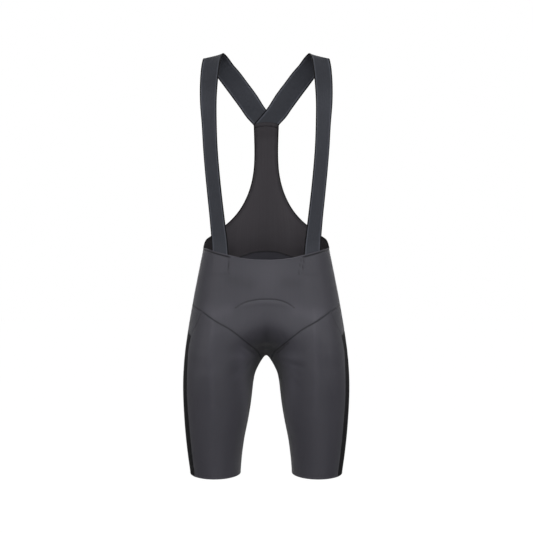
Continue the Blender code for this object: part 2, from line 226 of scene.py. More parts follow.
# Cubic curve through values at rising stations, read at the points given.
def smoothValue(stations, values, at):
    slopes = np.gradient(values, stations)
    at = np.clip(at, stations[0], stations[-1])
    low = np.clip(np.searchsorted(stations, at, side="right") - 1, 0, len(stations) - 2)
    span = stations[low + 1] - stations[low]
    t = (at - stations[low]) / span
    return (
        (2 * t**3 - 3 * t**2 + 1) * values[low]
        + (t**3 - 2 * t**2 + t) * span * slopes[low]
        + (3 * t**2 - 2 * t**3) * values[low + 1]
        + (t**3 - t**2) * span * slopes[low + 1]
    )


def section(z):
    rising = form["sections"][::-1]
    columns = (smoothValue(rising[:, 0], rising[:, n], z) for n in range(1, 6))
    inner, outer, front, back, squareness = columns
    return (inner + outer) / 2, (front + back) / 2, (outer - inner) / 2, (back - front) / 2, squareness


# Below zero inside the figure form, zero on it.
def formValue(points):
    centerX, centerY, halfWidth, halfDepth, squareness = section(points[..., 2])
    across = np.abs(np.hypot(points[..., 0], form["cleft"]) - centerX) / halfWidth
    along = np.abs(points[..., 1] - centerY) / halfDepth
    return (across**squareness + along**squareness) ** (1 / squareness) - 1


def formGradient(points, step=0.05):
    sides = step * np.eye(3)
    return np.stack([formValue(points + s) - formValue(points - s) for s in sides], axis=-1) / (2 * step)


def unit(vectors):
    return vectors / np.linalg.norm(vectors, axis=-1, keepdims=True)


def outward(points):
    return unit(formGradient(points))


# Moves points straight onto the form, or to a depth under its surface.
def settle(points, depth=0.0, rounds=12, longestStep=15):
    points = np.array(points, dtype=float)
    for _ in range(rounds):
        gradient = formGradient(points)
        steepness = np.linalg.norm(gradient, axis=-1, keepdims=True)
        error = formValue(points)[..., None] + depth * steepness
        points -= np.clip(error / steepness, -longestStep, longestStep) * gradient / steepness
    return points


# The form's point at x and z, in front for a face of -1 and behind for a face of 1.
def lay(x, z, face):
    centerX, centerY, halfWidth, halfDepth, squareness = section(np.asarray(z, dtype=float))
    across = np.abs(np.hypot(x, form["cleft"]) - centerX) / halfWidth
    along = np.clip(1 - across**squareness, 0, 1) ** (1 / squareness)
    return np.stack(np.broadcast_arrays(x, centerY + face * halfDepth * along, z), axis=-1)


# A seam or a crease on the form, from a table of x and z.
def layTable(table, face):
    x, z = np.array(table, float).T
    return lay(x, z, face)


def sideLine(z):
    centerX, centerY, halfWidth, _, _ = section(z)
    return np.stack([np.sqrt((centerX + halfWidth) ** 2 - form["cleft"] ** 2), centerY, z], axis=-1)


def sidePoint(z):
    return sideLine(np.array([z]))


# Running length down each column of points.
def lengthsAlong(points):
    steps = np.linalg.norm(np.diff(points, axis=0), axis=-1)
    return join(np.zeros_like(steps[:1]), np.cumsum(steps, axis=0))


def sharesAlong(points):
    run = lengthsAlong(points)
    return run / run[-1]


# Smooth curve through the points, read at shares of its length.
def smoothCurve(points, shares, samples=400):
    points = np.asarray(points, dtype=float)
    stations = lengthsAlong(points)
    fine = np.linspace(0, stations[-1], samples)
    dense = np.stack([smoothValue(stations, points[:, n], fine) for n in range(3)], axis=-1)
    run = lengthsAlong(dense)
    return np.stack([np.interp(shares * run[-1], run, dense[:, n]) for n in range(3)], axis=-1)


# How finely the cloth is meshed: each stretch of seam counts the CAD solid's faces, and every one
# of them becomes a few, with extra rows close beside the edges for the seams' grooves and rims.
fineness = {
    "perFace": 6,
    "edgeRows": (0.045, 0.1, 0.15),  # shares of a CAD face
    "guidePoints": 5,
    "creasePoints": 60,
}


def facesAlong(parts):
    return sum(faces for _, faces in parts)


def stationsFor(faces, startRows=fineness["edgeRows"]):
    even = np.arange(faces * fineness["perFace"] + 1) / fineness["perFace"]
    endRows = faces - np.array(fineness["edgeRows"])
    return np.unique(np.round(join(even, startRows, endRows), 6))


# The stations with a stretch of them given more finely.
def withFiner(stations, finer):
    if len(finer) == 0:
        return stations
    step = finer[1] - finer[0]
    outside = (stations < finer[0] - step / 2) | (stations > finer[-1] + step / 2)
    return np.union1d(stations[outside], finer)


# Points along seams that meet end to end; each is given by its guide points and its faces.
def alongSeams(parts, stations):
    found = []
    begin = 0
    total = facesAlong(parts)
    for line, faces in parts:
        end = begin + faces
        here = (stations >= begin) & ((stations < end) | (end == total))
        found.append(settle(smoothCurve(line, (stations[here] - begin) / faces)))
        begin = end
    return join(*found)


# A grid between four edges, laid on the form or at a depth under it. Rows run down, and a high hold
# makes the rows next to the top and bottom edges run straight across.
def patch(top, bottom, left, right, across, down, hold=1, depth=0.0):
    u = across[None, :, None]
    v = down[:, None, None]
    straight = (1 - u) * left[:, None] + u * right[:, None]
    toTop = (1 - v) ** hold * (top - straight[0])
    toBottom = v**hold * (bottom - straight[-1])
    return settle(straight + toTop + toBottom, depth)


seamLayout = {
    "sideWaist": -402.0,
    "sideYoke": -474.0,
    "sideLeg": -517.5,
    "hem": -872.5,
    "hemSlope": 0.045,
    "crotchSeamX": 14.5,
    "crotchTipX": 13.0,
    "crotchSeamZ": -633.0,
    "crotchTipZ": -643.0,
    "crotchReach": 33.0,
    "halfColumns": 11,
    "sideUpperFaces": 3,
    "sideLowerFaces": 2,
    "cornerFaces": 3,
    "legFaces": 13,
    "crotchFaces": 5,
    "armholeFaces": 18,
    "legRows": 14,
    "hipRows": 3,            # of them, beside the hip panel
    "legRowGrowth": 1.15,
    "rowHold": 8,
    "yoke": [(0, -409), (24, -411), (52, -419.5), (85, -437), (115, -457)],
    "frontLeg": [(131, -534), (104, -552), (70.5, -570.5), (38, -596.5), (17, -617)],
    "backLeg": [(131, -536), (104, -557), (70.5, -578), (38, -601), (17, -618)],
    "sidePanel": [
        (143, -561), (154, -582), (160, -606), (162.5, -636), (163.5, -680),
        (162.5, -724), (159.5, -762), (155.5, -805), (150.5, -850), (147.5, -872.5),
    ],
}


# Guide points and face counts of every seam that two panels share, on the right-hand side.
def seamGuides():
    found = {}
    for name, top, bottom in (("sideUpper", "sideWaist", "sideYoke"), ("sideLower", "sideYoke", "sideLeg")):
        heights = np.linspace(seamLayout[top], seamLayout[bottom], fineness["guidePoints"])
        found[name] = (sideLine(heights), seamLayout[name + "Faces"])
    tipY = section(np.array([seamLayout["crotchTipZ"]]))[1][0]
    for name, face in (("front", -1), ("back", 1)):
        leg = layTable(seamLayout[name + "Leg"], face)
        seamY = leg[-1, 1] - face * seamLayout["crotchReach"]
        whole = settle(join(leg, [
            (seamLayout["crotchSeamX"], seamY, seamLayout["crotchSeamZ"]),
            (seamLayout["crotchTipX"], tipY, seamLayout["crotchTipZ"]),
        ]))
        corner = join(sidePoint(seamLayout["sideLeg"]), whole[:1])
        found[name + "Corner"] = (corner, seamLayout["cornerFaces"])
        found[name + "Leg"] = (whole[:len(leg)], seamLayout["legFaces"])
        found[name + "Crotch"] = (whole[len(leg) - 1:], seamLayout["crotchFaces"])
    yoke = join(layTable(seamLayout["yoke"], 1), sidePoint(seamLayout["sideYoke"]))
    found["yoke"] = (yoke, seamLayout["halfColumns"])
    crotch = layTable([(0, form["crotch"])], -1)
    found["tip"] = (join(crotch, found["frontCrotch"][0][-1:]), seamLayout["halfColumns"])
    return found


guides = seamGuides()


# The whole grid from its right half, whose first column is on the centre plane.
def bothHalves(half):
    half[:, 0, 0] = 0
    return join(half[:, :0:-1] * (-1, 1, 1), half, axis=1)


# The whole grid from its right half's edges. A lead below 1 moves the rows on the centre plane down.
def fromRightHalf(top, bottom, centerLine, right, across, down, lead=1):
    left = settle(smoothCurve(centerLine, sharesAlong(right) ** lead))
    left[:, 0] = 0
    acrossShare = across / seamLayout["halfColumns"]
    return bothHalves(patch(top, bottom, left, right, acrossShare, down, seamLayout["rowHold"]))


# A right-hand grid, or for a side of -1 its mirror image with the columns still from left to right.
def mirrored(grid, side):
    return grid if side > 0 else (grid * (-1, 1, 1))[:, ::-1]


# Heights down the centre plane to the crotch, closer together as the line turns level.
def centerHeights(start, count=18):
    return start + (form["crotch"] - start) * np.sin(np.linspace(0, np.pi / 2, count))


# The front or the seat, from its top edge to the crotch tip.
def trunkGrid(name, face, topLine, sideSeams, across, topRows=fineness["edgeRows"], moreRows=()):
    seamRun = [guides[s] for s in (*sideSeams, name + "Corner", name + "Leg", name + "Crotch")]
    rows = facesAlong(seamRun)
    down = withFiner(stationsFor(rows, startRows=topRows), moreRows)
    top = alongSeams([(topLine, seamLayout["halfColumns"])], across)
    tip = alongSeams([guides["tip"]], across)
    right = alongSeams(seamRun, down)
    centerLine = lay(0.0, centerHeights(top[0, 2]), face)
    return fromRightHalf(top, tip, centerLine, right, across, down / rows)


# The arc of a leg's hem from one point to another, by the inner or the outer side.
def hemArc(start, end, turnShares, inside):
    hem = seamLayout["hem"]
    centerX, centerY, halfWidth, halfDepth, _ = (v[0] for v in section(np.array([hem])))
    angles = [
        math.atan2((p[1] - centerY) / halfDepth, (math.hypot(p[0], form["cleft"]) - centerX) / halfWidth)
        for p in (start, end)
    ]
    if inside:
        angles[0] += 2 * np.pi
    turn = angles[0] + (angles[1] - angles[0]) * turnShares
    x = np.sqrt((centerX + halfWidth * np.cos(turn)) ** 2 - form["cleft"] ** 2)
    y = centerY + halfDepth * np.sin(turn)
    return np.stack([x, y, hem + seamLayout["hemSlope"] * (y - centerY)], axis=-1)


# A side panel's front or back edge, from its top corner to the hem.
def sideEdge(name, face, down):
    line = layTable(seamLayout["sidePanel"], face)
    line[-1, 2] += seamLayout["hemSlope"] * (line[-1, 1] - section(seamLayout["hem"])[1])
    corner = guides[name + "Corner"][0][-1:]
    return settle(smoothCurve(join(corner, line), down))


# The leg panel, which wraps the leg by its inner side, and the hip and side panels that close it.
def legGrids():
    rows = seamLayout["legRows"]
    hipEnd = seamLayout["hipRows"]
    besideHip = [hipEnd + sign * step for step in fineness["edgeRows"] for sign in (-1, 1)]
    rowStations = np.union1d(stationsFor(rows), besideHip)
    down = (rowStations / rows) ** seamLayout["legRowGrowth"]
    frontEdge = sideEdge("front", -1, down)
    backEdge = sideEdge("back", 1, down)

    def around(seamRun, inside):
        faces = facesAlong(seamRun)
        stations = stationsFor(faces)
        top = alongSeams(seamRun, stations)
        hem = hemArc(frontEdge[-1], backEdge[-1], stations / faces, inside)
        return patch(top, hem, frontEdge, backEdge, stations / faces, rowStations / rows)

    turnedOver = lambda name: (guides[name][0][::-1], guides[name][1])
    legRun = [guides["frontLeg"], guides["frontCrotch"], turnedOver("backCrotch"), turnedOver("backLeg")]
    leg = around(legRun, inside=True)
    side = around([turnedOver("frontCorner"), guides["backCorner"]], inside=False)
    split = int(np.searchsorted(rowStations, hipEnd))
    return leg[:, ::-1], side[:split + 1], side[split:]


# A node group with named inputs. An input without a value is given by the kind of its socket.
def newGroup(name, kind, inputs, output, outputKind="Float"):
    group = bpy.data.node_groups.new(name, kind)
    newSocket = group.interface.new_socket
    for label, value in inputs.items():
        socketKind = value if isinstance(value, str) else "Float"
        socket = newSocket(name=label, in_out="INPUT", socket_type="NodeSocket" + socketKind)
        if socketKind == "Float":
            socket.default_value = value
    newSocket(name=output, in_out="OUTPUT", socket_type="NodeSocket" + outputKind)
    return group, group.nodes.new("NodeGroupInput").outputs, group.nodes.new("NodeGroupOutput")


# Knitted loops on a map in metres: wales side by side, each a chain of slanted loops.
def makeKnitGroup():
    group, given, result = newGroup(
        "knitLoops", "ShaderNodeTree",
        {"Map": "Vector", "Wale": 0.0005, "Course": 0.0006, "Loops": 0.5}, "Height",
    )
    parts = shaderNode(group, "SeparateXYZ", inputs={"Vector": given["Map"]}).outputs
    wales = mathNode(group, "DIVIDE", parts["X"], given["Wale"])
    courses = mathNode(group, "DIVIDE", parts["Y"], given["Course"])
    centered = mathNode(group, "SUBTRACT", mathNode(group, "FRACT", wales), 0.5)
    fromMiddle = mathNode(group, "ABSOLUTE", centered)
    ridge = mathNode(group, "MULTIPLY_ADD", mathNode(group, "POWER", fromMiddle, 2.0), -4.0, 1.0)
    turn = mathNode(group, "MULTIPLY", mathNode(group, "ADD", courses, fromMiddle), 2 * math.pi)
    wave = mathNode(group, "MULTIPLY_ADD", mathNode(group, "SINE", turn), 0.5, 0.5)
    dent = mathNode(group, "MULTIPLY_ADD", mathNode(group, "MULTIPLY", wave, given["Loops"]), -1.0, 1.0)
    setInputs(group, result, {"Height": mathNode(group, "MULTIPLY", ridge, dent)})
    return group


# Uneven dye and yarn: a slow change over the piece, streaks along the wales and a fine fleck.
def makeToneGroup():
    group, given, result = newGroup(
        "yarnTone", "ShaderNodeTree",
        {"Map": "Vector", "Slow": 0.04, "Streak": 0.04, "Streak Width": 0.002, "Fleck": 0.08}, "Tone",
    )
    place = shaderNode(group, "TexCoord").outputs["Object"]
    parts = shaderNode(group, "SeparateXYZ", inputs={"Vector": given["Map"]}).outputs
    stretched = shaderNode(group, "CombineXYZ", inputs={
        "X": mathNode(group, "DIVIDE", parts["X"], given["Streak Width"]),
        "Y": mathNode(group, "MULTIPLY", parts["Y"], 6.0),  # streaks a sixth of a metre long
    })
    total = 1.0
    noises = {"Slow": (place, 9.0, 3.0), "Streak": (stretched, 1.0, 2.0), "Fleck": (place, 900.0, 1.0)}
    for amount, (where, scale, detail) in noises.items():
        noise = shaderNode(group, "TexNoise", inputs={"Vector": where, "Scale": scale, "Detail": detail})
        swing = mathNode(group, "MULTIPLY_ADD", noise, 2.0, -1.0)
        total = mathNode(group, "MULTIPLY_ADD", swing, given[amount], total)
    setInputs(group, result, {"Tone": total})
    return group


# One beside a free edge, falling to zero about the width given.
def makeEdgeGroup():
    group, given, result = newGroup("edgeBand", "ShaderNodeTree", {"Width": 0.002}, "Mask")
    distance = shaderNode(group, "Attribute", {"attribute_name": "edgeDistance"}).outputs["Fac"]
    share = mathNode(group, "DIVIDE", distance, given["Width"])
    band = remap(group, share, 1.0, 0.0, interpolation_type="SMOOTHSTEP")
    setInputs(group, band, {"From Min": 0.6, "From Max": 1.2})  # shares of the width
    setInputs(group, result, {"Mask": band})
    return group


knitLoops = makeKnitGroup()
yarnTone = makeToneGroup()
edgeBand = makeEdgeGroup()

# Wale, course and bump are in metres. The tones of a free edge's rim and of the edge band inside it,
# and the tone where lineShade is 1, are multiples of the colour: painted highlight or painted shade along
# the edges, and painted shade along seams and lines. Slow, streak and fleck are the shares by which the
# tone wanders.
plainCloth = {
    "slow": 0.05, "streak": 0.05, "streakWidth": 0.004, "fleck": 0.06, "sheenRoughness": 0.45,
    "rimWidth": 0.0022, "edgeBandToneWidth": 0.004, "edgeBandTone": 1.0, "seam": 0.5,
    "lineRoughness": 0.95,  # in the dark of a seam or an edge
    # the knit is darker in its valleys and lighter on its ridges: painted shade and highlight on the loops
    "valleyTone": 0.86, "ridgeTone": 1.05,
}
fabrics = {
    "bodyCloth": {
        "color": (0.066, 0.064, 0.0795), "roughness": 0.46, "specular": 0.45, "sheen": 0.25,
        "wale": 0.00048, "course": 0.00062, "loops": 0.45, "bump": 0.00005,
        # lighter rim and edge band: painted highlight along the hems and the waist edge
        "rim": 1.1, "edgeBandTone": 1.05, "seam": 0.4,
    },
    "sideCloth": {
        "color": (0.009, 0.009, 0.011), "roughness": 0.55, "specular": 0.25, "sheen": 0.04,
        # the lighter rim is a painted highlight along the hem
        "wale": 0.00042, "course": 0.0006, "loops": 0.4, "bump": 0.00004, "rim": 1.2,
    },
    "bibMesh": {
        "color": (0.072, 0.066, 0.074), "roughness": 0.75, "specular": 0.15,
        "sheen": 0.03, "sheenRoughness": 0.5,
        "wale": 0.0011, "course": 0.0013, "loops": 0.9, "bump": 0.00012,
        "slow": 0.06, "streak": 0.13, "streakWidth": 0.0022,
        # the near-black rim and darker edge band are painted shade along the armholes
        "rimWidth": 0.0028, "rim": 0.08, "edgeBandToneWidth": 0.008, "edgeBandTone": 0.8, "seam": 0.4,
    },
    "elastic": {
        "color": (0.058, 0.0615, 0.075), "roughness": 0.62, "specular": 0.2,
        "sheen": 0.08, "sheenRoughness": 0.5,
        "wale": 0.0014, "course": 0.0009, "loops": 0.35, "bump": 0.00014,
        "slow": 0.03, "streak": 0.07, "streakWidth": 0.0016, "fleck": 0.08,
        # the near-black rim is painted shade along the straps' edges; a lighter line runs inside it
        "rimWidth": 0.003, "rim": 0.05, "edgeBandToneWidth": 0.0056, "edgeBandTone": 1.9,
    },
    "padFoam": {
        "color": (0.03, 0.03, 0.034), "roughness": 0.85, "specular": 0.3,
        "sheen": 0.25, "sheenRoughness": 0.6,
        "wale": 0.0016, "course": 0.0016, "loops": 1.0, "bump": 0.0002,
        "slow": 0.08, "streak": 0.03, "streakWidth": 0.003, "fleck": 0.1,
        "rimWidth": 0.003, "rim": 0.8, "edgeBandToneWidth": 0.005, "seam": 1.0,
    },
}


def placeGroup(tree, group, inputs):
    return shaderNode(tree, "Group", {"node_tree": group}, inputs)


def scaled(tree, color, level):
    return shaderNode(tree, "VectorMath", {"operation": "SCALE"}, {0: color, "Scale": level})


def bumped(tree, height, distance):
    return shaderNode(tree, "Bump", inputs={"Height": height, "Distance": distance})


def makeFabric(name):
    finish = {**plainCloth, **fabrics[name]}
    made, tree, shader = newMaterial(name)
    clothMap = shaderNode(tree, "UVMap", {"uv_map": "clothMap"})
    loops = placeGroup(tree, knitLoops, {
        "Map": clothMap, "Wale": finish["wale"], "Course": finish["course"], "Loops": finish["loops"],
    })
    level = placeGroup(tree, yarnTone, {
        "Map": clothMap, "Slow": finish["slow"], "Streak": finish["streak"],
        "Streak Width": finish["streakWidth"], "Fleck": finish["fleck"],
    })
    # The edge band and rim paint highlight or shade along each free edge.
    toneInside = 1.0
    masks = []
    for part in ("edgeBandTone", "rim"):
        band = placeGroup(tree, edgeBand, {"Width": finish[part + "Width"]})
        masks.append((band, finish[part] / toneInside))
        toneInside = finish[part]
    # Painted shade along seams, pressed lines and folds, from lineShade; below 0 it paints a highlight.
    shade = shaderNode(tree, "Attribute", {"attribute_name": "lineShade"}).outputs["Fac"]
    masks.append((shade, finish["seam"]))
    dark = 0.0
    for mask, toneThere in masks:
        if toneThere < 1:
            dark = mathNode(tree, "MAXIMUM", mask, dark)
        level = mathNode(tree, "MULTIPLY", level, remap(tree, mask, 1.0, toneThere, clamp=False))
    # the knit's painted shade in its valleys and painted highlight on its ridges
    level = mathNode(tree, "MULTIPLY", level, remap(tree, loops, finish["valleyTone"], finish["ridgeTone"]))
    setInputs(tree, shader, {
        "Base Color": scaled(tree, finish["color"], level),
        "Roughness": remap(tree, dark, finish["roughness"], finish["lineRoughness"]),
        "Normal": bumped(tree, loops, finish["bump"]),
        "Specular IOR Level": finish["specular"],
        "Sheen Weight": finish["sheen"],
        "Sheen Roughness": finish["sheenRoughness"],
    })
    return made


materials = {name: makeFabric(name) for name in fabrics}

thread = {
    "color": (0.045, 0.0445, 0.052),
    "roughness": 0.6,
    "twist": {"Scale": 900.0, "Distortion": 2.0},
    "twistDepth": 0.00004,
    # darker in the twist's grooves and lighter on its ridges: painted shade and highlight
    "twistTone": (0.8, 1.15),
}


def makeThread():
    made, tree, shader = newMaterial("sewingThread")
    place = shaderNode(tree, "TexCoord").outputs["Object"]
    twist = shaderNode(tree, "TexWave", inputs={"Vector": place, **thread["twist"]}).outputs["Fac"]
    setInputs(tree, shader, {
        "Base Color": scaled(tree, thread["color"], remap(tree, twist, *thread["twistTone"])),
        "Roughness": thread["roughness"],
        "Normal": bumped(tree, twist, thread["twistDepth"]),
    })
    return made


materials["sewingThread"] = makeThread()
print("materials made")


# Distance in mm from each point to the nearest of the lines.
def distanceTo(lines, points):
    samples = join(*lines)
    joined = join(*([False] + [True] * (len(line) - 1) for line in lines))
    tree = KDTree(len(samples))
    for index, sample in enumerate(samples):
        tree.insert(sample, index)
    tree.balance()
    near = np.array([tree.find(p)[1] for p in points])
    best = np.linalg.norm(points - samples[near], axis=1)
    for step in (0, 1):  # the stretch before the nearest sample, and the one after it
        last = np.clip(near + step, 1, len(samples) - 1)
        a = samples[last - 1]
        run = samples[last] - a
        share = ((points - a) * run).sum(1) / np.maximum((run**2).sum(1), 1e-9)
        foot = a + np.clip(share, 0, 1)[:, None] * run
        best = np.where(joined[last], np.minimum(best, np.linalg.norm(points - foot, axis=1)), best)
    return best


def smoothStep(value, low, high):
    t = np.clip((value - low) / (high - low), 0, 1)
    return t * t * (3 - 2 * t)


# Rises over the first two limits and falls back over the last two.
def window(value, start, full, fall, end):
    return smoothStep(value, start, full) * (1 - smoothStep(value, fall, end))


# One at 0, fading on both sides of it.
def fade(value, width):
    return np.exp(-((value / width) ** 2))


padFront = [(-62, -525.5), (-47, -516), (-26, -510), (0, -508), (26, -510), (42, -515.5), (57, -525.5)]
strapMarks = [
    [(-77.0, -420), (-76.6, -436), (-76.3, -447), (-76.2, -457)],
    [(72, -424), (69, -436), (67, -446), (66, -457)],
    [(77, -426), (75, -436), (73.6, -446), (72.8, -456)],
]
# Creases, pressed lines and swellings: soft troughs (below 0) and ridges (above 0) in the cloth.
creases = [
    # face, width, rise, line through (x, z)
    # the seat pad's front edge, pressed through the front
    (-1, 1.3, -0.85, padFront),
    (-1, 4.5, 0.5, [
        (-60, -532), (-45, -522.5), (-25, -517), (0, -515), (25, -517), (41, -522.5), (55, -532),
    ]),
    # the straps' inner edges, pressed through the front under the waist edge
    (-1, 1.2, -0.7, strapMarks[0]),
    (-1, 1.1, -0.5, strapMarks[1]),
    (-1, 1.1, -0.6, strapMarks[2]),
    # the belly and the thighs fill the front above the crotch
    (-1, 25.0, 2.6, [
        (-118, -590), (-84, -582), (-45, -570), (0, -566), (45, -570), (84, -582), (118, -590),
    ]),
    (-1, 17.0, 3.0, [(-34, -584), (-15, -591), (0, -593), (15, -591), (34, -584)]),
    # folds beside the crotch
    (-1, 1.8, -1.5, [(45, -596), (33, -608), (22, -619)]),
    (-1, 2.0, 0.9, [(40, -592), (29, -603), (19, -614)]),
    (-1, 2.2, -1.0, [(-50, -600), (-36, -612), (-25, -623)]),
    (-1, 2.4, 0.7, [(-56, -605), (-42, -617), (-31, -628)]),
    # drag lines that spread from the crotch over the thighs
    (-1, 6.0, -0.9, [(30, -628), (52, -640), (80, -646)]),
    (-1, 5.5, -0.8, [(-30, -632), (-50, -650), (-72, -662)]),
    (-1, 8.0, 0.8, [(34, -640), (52, -662), (70, -676)]),
    (-1, 7.0, 0.7, [(-34, -646), (-54, -668), (-76, -684)]),
    # soft upright folds down the thighs
    (-1, 6.5, 1.0, [(-108, -548), (-111, -600), (-112, -660), (-108, -720)]),
    (-1, 6.0, 1.0, [(97, -540), (99, -600), (101, -670), (98, -735)]),
    (-1, 9.0, -0.6, [(-92, -560), (-94, -610), (-95, -665)]),
    (-1, 9.0, -0.6, [(116, -570), (119, -620), (119, -680)]),
    # folds under the seat
    (1, 8.0, -1.2, [(24, -634), (55, -640), (95, -632), (120, -622)]),
    (1, 8.0, -1.1, [(-24, -636), (-58, -643), (-98, -636), (-122, -628)]),
    (1, 6.0, 0.8, [(30, -646), (60, -650), (98, -643)]),
    (1, 6.0, 0.7, [(-32, -648), (-64, -654), (-96, -648)]),
    (1, 7.0, -0.8, [(34, -660), (64, -665), (92, -660)]),
    (1, 7.0, -0.7, [(-36, -658), (-62, -662), (-86, -658)]),
    (1, 5.0, -0.7, [(14, -600), (10, -580), (12, -558)]),
    (1, 5.0, -0.6, [(-15, -604), (-12, -584), (-13, -566)]),
]

# Painted shade that darkens the cloth, from 0 to 1, or, below 0, painted highlight that lightens it.
paintedShadeLines = [
    # face, width, how dark, line through (x, z)
    # painted shade in the troughs of the pad's pressed edge, the straps' marks and a fold beside the crotch
    (-1, 1.1, 0.95, padFront),
    (-1, 1.2, 0.8, strapMarks[0]),
    (-1, 1.0, 0.5, strapMarks[1]),
    (-1, 1.1, 0.65, strapMarks[2]),
    (-1, 1.2, 0.8, [(45, -596), (33, -608), (22, -619)]),
    # painted highlights down the thighs, over the hips, on the inner thighs and at the top of the belly
    (-1, 6.0, -0.26, [(-108, -540), (-111, -600), (-112, -660), (-108, -725)]),
    (-1, 6.0, -0.22, [(97, -532), (99, -600), (101, -670), (98, -740)]),
    (-1, 22.0, -0.12, [(2, -426), (3, -445), (0, -480)]),
    (-1, 14.0, -0.42, [(-120, -530), (-104, -536), (-78, -530)]),
    (-1, 14.0, -0.42, [(60, -531), (88, -538), (114, -538)]),
    (-1, 15.0, -0.6, [(-50, -606), (-48, -640), (-44, -700), (-42, -770)]),
    (-1, 16.0, -0.44, [(54, -606), (51, -640), (49, -700), (46, -770)]),
    # painted shade beside the belly, at the crotch and on the hips' outer sides
    (-1, 15.0, 0.22, [(-74, -468), (-50, -474), (-34, -478)]),
    (-1, 13.0, 0.22, [(40, -474), (62, -476)]),
    (-1, 7.0, 0.45, [(-9, -605), (0, -610), (9, -605)]),
    (-1, 10.0, 0.22, [(-142, -544), (-141, -560), (-142, -578)]),
    (-1, 10.0, 0.2, [(142, -548), (140, -562), (140, -580)]),
]


pressing = {
    # how far a line is felt, in widths of it
    "shadeReach": 2.5,
    "riseReach": 3.0,
    "endPower": 0.6,  # below 1, a crease keeps its height until close to its ends
}


# Adds up what each line of a table gives to the points within reach of it, by strengthAt.
def sumLines(table, points, reach, strengthAt):
    total = np.zeros(len(points))
    for face, width, strength, guide in table:
        shares = np.linspace(0, 1, fineness["creasePoints"])
        line = settle(smoothCurve(layTable(guide, face), shares))
        low, high = line.min(0) - reach * width, line.max(0) + reach * width
        near = np.all((points > low) & (points < high), axis=1)
        if near.any():
            total[near] += strength * strengthAt(points[near], line, width)
    return total


# Painted shade and, below 0, painted highlight at each point, from the table of painted lines.
def paintedLineShade(points):
    shade = lambda near, line, width: fade(distanceTo([line], near), width)
    return sumLines(paintedShadeLines, points, pressing["shadeReach"], shade)


def creaseRise(points):
    def rise(near, line, width):
        gaps = np.linalg.norm(near[:, None] - line[None], axis=2)
        share = gaps.argmin(1) / (len(line) - 1)
        return fade(gaps.min(1), width) * np.sin(np.pi * share) ** pressing["endPower"]

    return sumLines(creases, points, pressing["riseReach"], rise)


sewing = {
    "overlap": 0.05,       # neighbouring panels' edges run into each other by this much each
    "grooveDepth": 0.42,
    "grooveWidth": 1.8,
    "hemRise": 0.3,
    "hemWidth": 1.3,
    # the painted shade beside each seam's groove reaches about this far
    "shadeWidth": 1.5,
    "faintWidth": 3.0,     # a bonded seam shows less, within this distance and by this share
    "faintLoss": 0.7,
    "clothThickness": 0.9,
    "rimRound": 0.22,
    "noEdge": 50.0,        # the distance to a free edge, on a piece that has none
}

surfaces = {}  # each piece's outer and inner face, which the stitches are laid on


def quads(rows, columns):
    index = np.arange(rows * columns).reshape(rows, columns)
    corners = [index[:-1, :-1], index[1:, :-1], index[1:, 1:], index[:-1, 1:]]
    return np.stack(corners, axis=-1).reshape(-1, 4)


# The cloth's own map in metres: across each row from its middle, and down each column.
def flatMap(grid):
    middle = grid.shape[1] // 2
    across = lengthsAlong(grid.swapaxes(0, 1)).T
    flat = np.stack([across - across[:, middle:middle + 1], -lengthsAlong(grid)], axis=-1)
    return flat.reshape(-1, 2) * mm


def makePiece(name, points, faces, clothMap, values, material):
    mesh = bpy.data.meshes.new(name)
    mesh.from_pydata((points * mm).tolist(), [], faces.tolist())
    mesh.shade_smooth()
    layer = mesh.uv_layers.new(name="clothMap")
    loopPoints = np.zeros(len(mesh.loops), np.int32)
    mesh.loops.foreach_get("vertex_index", loopPoints)
    layer.data.foreach_set("uv", clothMap[loopPoints].astype(np.float32).ravel())
    for label, value in values.items():
        attribute = mesh.attributes.new(label, "FLOAT", "POINT")
        attribute.data.foreach_set("value", value.astype(np.float32))
    mesh.materials.append(materials[material])
    return newObject(name, mesh)


def roundRim(made, width):
    rim = made.modifiers.new("rim", "BEVEL")
    rim.width = width * mm
    rim.segments = 2
    rim.limit_method = "ANGLE"
    rim.angle_limit = math.radians(60)


